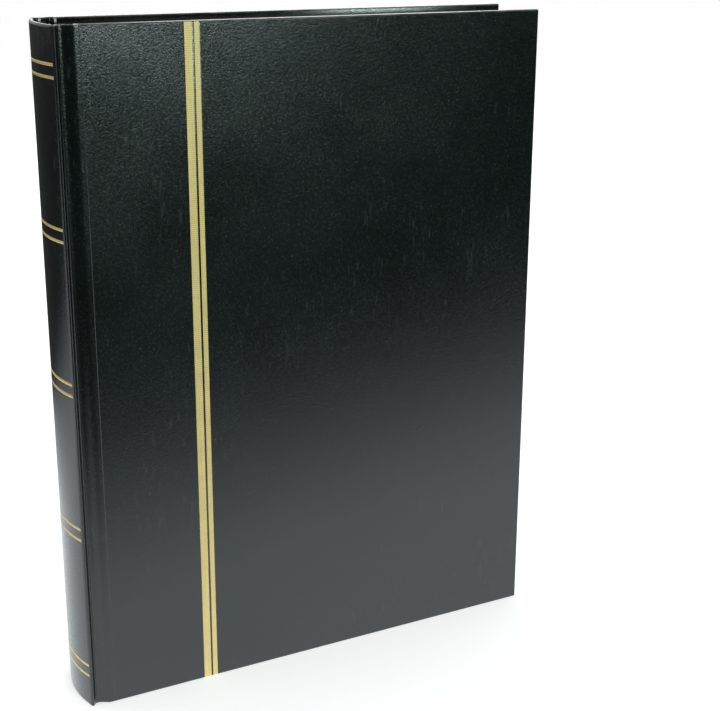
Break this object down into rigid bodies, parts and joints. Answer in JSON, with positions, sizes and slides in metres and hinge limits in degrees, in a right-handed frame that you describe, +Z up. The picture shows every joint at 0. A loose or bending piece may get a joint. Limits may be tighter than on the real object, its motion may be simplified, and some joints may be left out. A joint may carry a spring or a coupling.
{
  "type": "stamp album",
  "caption": "Hardcover stockbook for stamps: dark leatherette case with gold stripes and spine bands, hinged covers, and a block of strip pages with interleaves.",
  "frame": {"origin": "middle of the footprint, on the tail edge that the closed album stands on", "axes": "+Z up the album from tail to head, front cover facing -Y, spine at -X, fore-edge at +X"},
  "size_m": [0.23, 0.038, 0.305],
  "materials": {
    "leatherette": "satin",
    "gold_foil": "satin",
    "greyboard": "matte",
    "endpaper": "matte",
    "page_card": "matte",
    "glassine": "satin",
    "linen": "matte"
  },
  "bodies": {
    "root": {"spine_leatherette": "leatherette", "spine_card": "greyboard", "front_joint_leatherette": "leatherette", "back_joint_leatherette": "leatherette", "spine_band_1_lower": "gold_foil", "spine_band_1_upper": "gold_foil", "spine_band_2_lower": "gold_foil", "spine_band_2_upper": "gold_foil", "spine_band_3_lower": "gold_foil", "spine_band_3_upper": "gold_foil", "spine_band_4_lower": "gold_foil", "spine_band_4_upper": "gold_foil", "spine_band_5_lower": "gold_foil", "spine_band_5_upper": "gold_foil", "leaf_guards": "page_card", "block_back_lining": "linen", "front_hinge_cloth": "linen", "back_hinge_cloth": "linen"},
    "front_cover": {"front_cover_leatherette": "leatherette", "front_board": "greyboard", "front_pastedown": "endpaper", "cover_stripe_wide": "gold_foil", "cover_stripe_narrow": "gold_foil"},
    "back_cover": {"back_cover_leatherette": "leatherette", "back_board": "greyboard", "back_pastedown": "endpaper"},
    "leaf_01": {"leaf_01": "page_card"},
    "interleaf_01": {"interleaf_01": "glassine"},
    "leaf_02": {"leaf_02": "page_card"},
    "interleaf_02": {"interleaf_02": "glassine"},
    "leaf_03": {"leaf_03": "page_card"},
    "interleaf_03": {"interleaf_03": "glassine"},
    "leaf_04": {"leaf_04": "page_card"},
    "interleaf_04": {"interleaf_04": "glassine"},
    "leaf_05": {"leaf_05": "page_card"},
    "interleaf_05": {"interleaf_05": "glassine"},
    "leaf_06": {"leaf_06": "page_card"},
    "interleaf_06": {"interleaf_06": "glassine"},
    "leaf_07": {"leaf_07": "page_card"},
    "interleaf_07": {"interleaf_07": "glassine"},
    "leaf_08": {"leaf_08": "page_card"},
    "interleaf_08": {"interleaf_08": "glassine"},
    "leaf_09": {"leaf_09": "page_card"},
    "interleaf_09": {"interleaf_09": "glassine"},
    "leaf_10": {"leaf_10": "page_card"},
    "interleaf_10": {"interleaf_10": "glassine"},
    "leaf_11": {"leaf_11": "page_card"},
    "interleaf_11": {"interleaf_11": "glassine"},
    "leaf_12": {"leaf_12": "page_card"},
    "interleaf_12": {"interleaf_12": "glassine"},
    "leaf_13": {"leaf_13": "page_card"},
    "interleaf_13": {"interleaf_13": "glassine"},
    "leaf_14": {"leaf_14": "page_card"},
    "interleaf_14": {"interleaf_14": "glassine"},
    "leaf_15": {"leaf_15": "page_card"},
    "interleaf_15": {"interleaf_15": "glassine"},
    "leaf_16": {"leaf_16": "page_card"}
  },
  "joints": [
    {"name": "front_cover_hinge", "type": "hinge", "parent": "root", "child": "front_cover", "pos_m": [-0.1072, -0.019, 0.1525], "axis": [0, 0, -1], "range_deg": [0, 178]},
    {"name": "back_cover_hinge", "type": "hinge", "parent": "root", "child": "back_cover", "pos_m": [-0.1072, 0.019, 0.1525], "axis": [0, 0, 1], "range_deg": [0, 178]},
    {"name": "leaf_01_hinge", "type": "hinge", "parent": "root", "child": "leaf_01", "pos_m": [-0.1004, -0.01453, 0.1525], "axis": [0, 0, -1], "range_deg": [0, 53.4]},
    {"name": "interleaf_01_hinge", "type": "hinge", "parent": "root", "child": "interleaf_01", "pos_m": [-0.1004, -0.01356, 0.1525], "axis": [0, 0, -1], "range_deg": [0, 50.06]},
    {"name": "leaf_02_hinge", "type": "hinge", "parent": "root", "child": "leaf_02", "pos_m": [-0.1004, -0.01259, 0.1525], "axis": [0, 0, -1], "range_deg": [0, 46.73]},
    {"name": "interleaf_02_hinge", "type": "hinge", "parent": "root", "child": "interleaf_02", "pos_m": [-0.1004, -0.01162, 0.1525], "axis": [0, 0, -1], "range_deg": [0, 43.39]},
    {"name": "leaf_03_hinge", "type": "hinge", "parent": "root", "child": "leaf_03", "pos_m": [-0.1004, -0.01066, 0.1525], "axis": [0, 0, -1], "range_deg": [0, 40.05]},
    {"name": "interleaf_03_hinge", "type": "hinge", "parent": "root", "child": "interleaf_03", "pos_m": [-0.1004, -0.00969, 0.1525], "axis": [0, 0, -1], "range_deg": [0, 36.71]},
    {"name": "leaf_04_hinge", "type": "hinge", "parent": "root", "child": "leaf_04", "pos_m": [-0.1004, -0.00872, 0.1525], "axis": [0, 0, -1], "range_deg": [0, 33.38]},
    {"name": "interleaf_04_hinge", "type": "hinge", "parent": "root", "child": "interleaf_04", "pos_m": [-0.1004, -0.00775, 0.1525], "axis": [0, 0, -1], "range_deg": [0, 30.04]},
    {"name": "leaf_05_hinge", "type": "hinge", "parent": "root", "child": "leaf_05", "pos_m": [-0.1004, -0.00678, 0.1525], "axis": [0, 0, -1], "range_deg": [0, 26.7]},
    {"name": "interleaf_05_hinge", "type": "hinge", "parent": "root", "child": "interleaf_05", "pos_m": [-0.1004, -0.00581, 0.1525], "axis": [0, 0, -1], "range_deg": [0, 23.36]},
    {"name": "leaf_06_hinge", "type": "hinge", "parent": "root", "child": "leaf_06", "pos_m": [-0.1004, -0.00484, 0.1525], "axis": [0, 0, -1], "range_deg": [0, 20.02]},
    {"name": "interleaf_06_hinge", "type": "hinge", "parent": "root", "child": "interleaf_06", "pos_m": [-0.1004, -0.00387, 0.1525], "axis": [0, 0, -1], "range_deg": [0, 16.69]},
    {"name": "leaf_07_hinge", "type": "hinge", "parent": "root", "child": "leaf_07", "pos_m": [-0.1004, -0.00291, 0.1525], "axis": [0, 0, -1], "range_deg": [0, 13.35]},
    {"name": "interleaf_07_hinge", "type": "hinge", "parent": "root", "child": "interleaf_07", "pos_m": [-0.1004, -0.00194, 0.1525], "axis": [0, 0, -1], "range_deg": [0, 10.01]},
    {"name": "leaf_08_hinge", "type": "hinge", "parent": "root", "child": "leaf_08", "pos_m": [-0.1004, -0.00097, 0.1525], "axis": [0, 0, -1], "range_deg": [0, 6.67]},
    {"name": "interleaf_08_hinge", "type": "hinge", "parent": "root", "child": "interleaf_08", "pos_m": [-0.1004, 0, 0.1525], "axis": [0, 0, -1], "range_deg": [0, 3.34]},
    {"name": "leaf_09_hinge", "type": "hinge", "parent": "root", "child": "leaf_09", "pos_m": [-0.1004, 0.00097, 0.1525], "axis": [0, 0, 1], "range_deg": [0, 6.67]},
    {"name": "interleaf_09_hinge", "type": "hinge", "parent": "root", "child": "interleaf_09", "pos_m": [-0.1004, 0.00194, 0.1525], "axis": [0, 0, 1], "range_deg": [0, 10.01]},
    {"name": "leaf_10_hinge", "type": "hinge", "parent": "root", "child": "leaf_10", "pos_m": [-0.1004, 0.00291, 0.1525], "axis": [0, 0, 1], "range_deg": [0, 13.35]},
    {"name": "interleaf_10_hinge", "type": "hinge", "parent": "root", "child": "interleaf_10", "pos_m": [-0.1004, 0.00387, 0.1525], "axis": [0, 0, 1], "range_deg": [0, 16.69]},
    {"name": "leaf_11_hinge", "type": "hinge", "parent": "root", "child": "leaf_11", "pos_m": [-0.1004, 0.00484, 0.1525], "axis": [0, 0, 1], "range_deg": [0, 20.02]},
    {"name": "interleaf_11_hinge", "type": "hinge", "parent": "root", "child": "interleaf_11", "pos_m": [-0.1004, 0.00581, 0.1525], "axis": [0, 0, 1], "range_deg": [0, 23.36]},
    {"name": "leaf_12_hinge", "type": "hinge", "parent": "root", "child": "leaf_12", "pos_m": [-0.1004, 0.00678, 0.1525], "axis": [0, 0, 1], "range_deg": [0, 26.7]},
    {"name": "interleaf_12_hinge", "type": "hinge", "parent": "root", "child": "interleaf_12", "pos_m": [-0.1004, 0.00775, 0.1525], "axis": [0, 0, 1], "range_deg": [0, 30.04]},
    {"name": "leaf_13_hinge", "type": "hinge", "parent": "root", "child": "leaf_13", "pos_m": [-0.1004, 0.00872, 0.1525], "axis": [0, 0, 1], "range_deg": [0, 33.38]},
    {"name": "interleaf_13_hinge", "type": "hinge", "parent": "root", "child": "interleaf_13", "pos_m": [-0.1004, 0.00969, 0.1525], "axis": [0, 0, 1], "range_deg": [0, 36.71]},
    {"name": "leaf_14_hinge", "type": "hinge", "parent": "root", "child": "leaf_14", "pos_m": [-0.1004, 0.01066, 0.1525], "axis": [0, 0, 1], "range_deg": [0, 40.05]},
    {"name": "interleaf_14_hinge", "type": "hinge", "parent": "root", "child": "interleaf_14", "pos_m": [-0.1004, 0.01162, 0.1525], "axis": [0, 0, 1], "range_deg": [0, 43.39]},
    {"name": "leaf_15_hinge", "type": "hinge", "parent": "root", "child": "leaf_15", "pos_m": [-0.1004, 0.01259, 0.1525], "axis": [0, 0, 1], "range_deg": [0, 46.73]},
    {"name": "interleaf_15_hinge", "type": "hinge", "parent": "root", "child": "interleaf_15", "pos_m": [-0.1004, 0.01356, 0.1525], "axis": [0, 0, 1], "range_deg": [0, 50.06]},
    {"name": "leaf_16_hinge", "type": "hinge", "parent": "root", "child": "leaf_16", "pos_m": [-0.1004, 0.01453, 0.1525], "axis": [0, 0, 1], "range_deg": [0, 53.4]}
  ],
  "couplings": [
    {"joint": "leaf_01_hinge", "follows": "front_cover_hinge", "ratio": 0.3},
    {"joint": "interleaf_01_hinge", "follows": "front_cover_hinge", "ratio": 0.28125},
    {"joint": "leaf_02_hinge", "follows": "front_cover_hinge", "ratio": 0.2625},
    {"joint": "interleaf_02_hinge", "follows": "front_cover_hinge", "ratio": 0.24375},
    {"joint": "leaf_03_hinge", "follows": "front_cover_hinge", "ratio": 0.225},
    {"joint": "interleaf_03_hinge", "follows": "front_cover_hinge", "ratio": 0.20625},
    {"joint": "leaf_04_hinge", "follows": "front_cover_hinge", "ratio": 0.1875},
    {"joint": "interleaf_04_hinge", "follows": "front_cover_hinge", "ratio": 0.16875},
    {"joint": "leaf_05_hinge", "follows": "front_cover_hinge", "ratio": 0.15},
    {"joint": "interleaf_05_hinge", "follows": "front_cover_hinge", "ratio": 0.13125},
    {"joint": "leaf_06_hinge", "follows": "front_cover_hinge", "ratio": 0.1125},
    {"joint": "interleaf_06_hinge", "follows": "front_cover_hinge", "ratio": 0.09375},
    {"joint": "leaf_07_hinge", "follows": "front_cover_hinge", "ratio": 0.075},
    {"joint": "interleaf_07_hinge", "follows": "front_cover_hinge", "ratio": 0.05625},
    {"joint": "leaf_08_hinge", "follows": "front_cover_hinge", "ratio": 0.0375},
    {"joint": "interleaf_08_hinge", "follows": "front_cover_hinge", "ratio": 0.01875},
    {"joint": "leaf_09_hinge", "follows": "back_cover_hinge", "ratio": 0.0375},
    {"joint": "interleaf_09_hinge", "follows": "back_cover_hinge", "ratio": 0.05625},
    {"joint": "leaf_10_hinge", "follows": "back_cover_hinge", "ratio": 0.075},
    {"joint": "interleaf_10_hinge", "follows": "back_cover_hinge", "ratio": 0.09375},
    {"joint": "leaf_11_hinge", "follows": "back_cover_hinge", "ratio": 0.1125},
    {"joint": "interleaf_11_hinge", "follows": "back_cover_hinge", "ratio": 0.13125},
    {"joint": "leaf_12_hinge", "follows": "back_cover_hinge", "ratio": 0.15},
    {"joint": "interleaf_12_hinge", "follows": "back_cover_hinge", "ratio": 0.16875},
    {"joint": "leaf_13_hinge", "follows": "back_cover_hinge", "ratio": 0.1875},
    {"joint": "interleaf_13_hinge", "follows": "back_cover_hinge", "ratio": 0.20625},
    {"joint": "leaf_14_hinge", "follows": "back_cover_hinge", "ratio": 0.225},
    {"joint": "interleaf_14_hinge", "follows": "back_cover_hinge", "ratio": 0.24375},
    {"joint": "leaf_15_hinge", "follows": "back_cover_hinge", "ratio": 0.2625},
    {"joint": "interleaf_15_hinge", "follows": "back_cover_hinge", "ratio": 0.28125},
    {"joint": "leaf_16_hinge", "follows": "back_cover_hinge", "ratio": 0.3}
  ]
}
